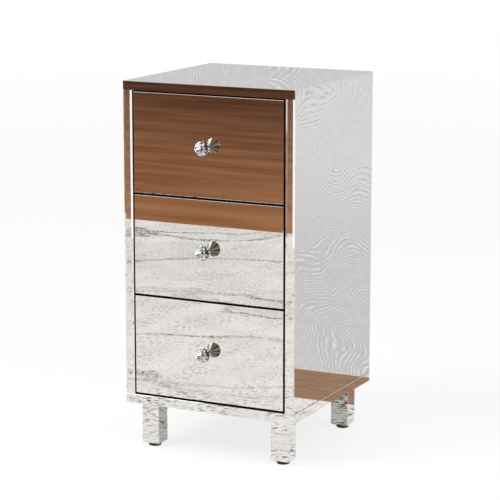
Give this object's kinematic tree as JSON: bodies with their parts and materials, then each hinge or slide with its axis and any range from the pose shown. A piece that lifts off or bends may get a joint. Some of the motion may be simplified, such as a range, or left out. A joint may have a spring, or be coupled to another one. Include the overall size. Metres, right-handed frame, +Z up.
{
  "type": "mirrored chest of drawers",
  "caption": "Narrow straight-sided chest of drawers clad in bevelled mirror panes, with faceted crystal knobs, square mirrored legs and black levelling feet.",
  "frame": {"origin": "on the floor, in the middle of the overall box, knobs included", "axes": "+X to the viewer's right, +Y to the back, +Z up; the drawers open towards -Y"},
  "size_m": [0.4, 0.435, 0.8],
  "materials": {
    "mirror_glass": "silvered float glass, ground and bevelled edges",
    "black_board": "fibreboard, satin black paint",
    "back_board": "hardboard, flat black-brown coat",
    "softwood": "plain planed softwood",
    "drawer_wood": "clear-lacquered birch",
    "zinc_steel": "bright zinc plate",
    "nickel": "smoked nickel plate",
    "crystal": "cut clear crystal",
    "black_plastic": "moulded, fine texture"
  },
  "bodies": {
    "case": {"top_mirror": "mirror_glass", "top_front_mirror": "mirror_glass", "base_front_mirror": "mirror_glass", "left_stile_mirror": "mirror_glass", "right_stile_mirror": "mirror_glass", "left_side_mirror": "mirror_glass", "right_side_mirror": "mirror_glass", "base_left_mirror": "mirror_glass", "base_right_mirror": "mirror_glass", "front_left_leg_mirrors": "mirror_glass", "front_right_leg_mirrors": "mirror_glass", "back_left_leg_mirrors": "mirror_glass", "back_right_leg_mirrors": "mirror_glass", "top_board": "black_board", "base_board": "black_board", "left_side_board": "black_board", "right_side_board": "black_board", "lower_rail": "black_board", "upper_rail": "black_board", "back_panel": "back_board", "case_dowels": "softwood", "leg_cores": "softwood", "base_screws": "zinc_steel", "back_panel_screws": "zinc_steel", "foot_inserts": "zinc_steel", "leg_bolts": "zinc_steel", "slide_cabinet_members": "zinc_steel", "slide_cabinet_screws": "zinc_steel"},
    "top_drawer": {"top_drawer_front_board": "black_board", "top_drawer_front_mirror": "mirror_glass", "top_drawer_box": "drawer_wood", "top_drawer_bottom": "drawer_wood", "top_drawer_screws": "zinc_steel", "top_knob_crystal": "crystal", "top_knob_cup": "nickel", "top_slide_drawer_members": "zinc_steel"},
    "top_slide_middle": {"top_slide_middle_members": "zinc_steel"},
    "middle_drawer": {"middle_drawer_front_board": "black_board", "middle_drawer_front_mirror": "mirror_glass", "middle_drawer_box": "drawer_wood", "middle_drawer_bottom": "drawer_wood", "middle_drawer_screws": "zinc_steel", "middle_knob_crystal": "crystal", "middle_knob_cup": "nickel", "middle_slide_drawer_members": "zinc_steel"},
    "middle_slide_middle": {"middle_slide_middle_members": "zinc_steel"},
    "bottom_drawer": {"bottom_drawer_front_board": "black_board", "bottom_drawer_front_mirror": "mirror_glass", "bottom_drawer_box": "drawer_wood", "bottom_drawer_bottom": "drawer_wood", "bottom_drawer_screws": "zinc_steel", "bottom_knob_crystal": "crystal", "bottom_knob_cup": "nickel", "bottom_slide_drawer_members": "zinc_steel"},
    "bottom_slide_middle": {"bottom_slide_middle_members": "zinc_steel"},
    "front_left_leveller": {"front_left_foot": "black_plastic"},
    "front_right_leveller": {"front_right_foot": "black_plastic"},
    "back_left_leveller": {"back_left_foot": "black_plastic"},
    "back_right_leveller": {"back_right_foot": "black_plastic"}
  },
  "joints": [
    {"name": "top_drawer_slide", "type": "slide", "parent": "case", "child": "top_drawer", "axis": [0, -1, 0], "range_m": [0, 0.34]},
    {"name": "top_middle_slide", "type": "slide", "parent": "case", "child": "top_slide_middle", "axis": [0, -1, 0], "range_m": [0, 0.17]},
    {"name": "middle_drawer_slide", "type": "slide", "parent": "case", "child": "middle_drawer", "axis": [0, -1, 0], "range_m": [0, 0.34]},
    {"name": "middle_middle_slide", "type": "slide", "parent": "case", "child": "middle_slide_middle", "axis": [0, -1, 0], "range_m": [0, 0.17]},
    {"name": "bottom_drawer_slide", "type": "slide", "parent": "case", "child": "bottom_drawer", "axis": [0, -1, 0], "range_m": [0, 0.34]},
    {"name": "bottom_middle_slide", "type": "slide", "parent": "case", "child": "bottom_slide_middle", "axis": [0, -1, 0], "range_m": [0, 0.17]},
    {"name": "front_left_foot_extend", "type": "slide", "parent": "case", "child": "front_left_leveller", "axis": [0, 0, -1], "range_m": [0, 0.005]},
    {"name": "front_right_foot_extend", "type": "slide", "parent": "case", "child": "front_right_leveller", "axis": [0, 0, -1], "range_m": [0, 0.005]},
    {"name": "back_left_foot_extend", "type": "slide", "parent": "case", "child": "back_left_leveller", "axis": [0, 0, -1], "range_m": [0, 0.005]},
    {"name": "back_right_foot_extend", "type": "slide", "parent": "case", "child": "back_right_leveller", "axis": [0, 0, -1], "range_m": [0, 0.005]}
  ],
  "couplings": [
    {"joint": "top_middle_slide", "follows": "top_drawer_slide", "ratio": 0.5},
    {"joint": "middle_middle_slide", "follows": "middle_drawer_slide", "ratio": 0.5},
    {"joint": "bottom_middle_slide", "follows": "bottom_drawer_slide", "ratio": 0.5}
  ]
}
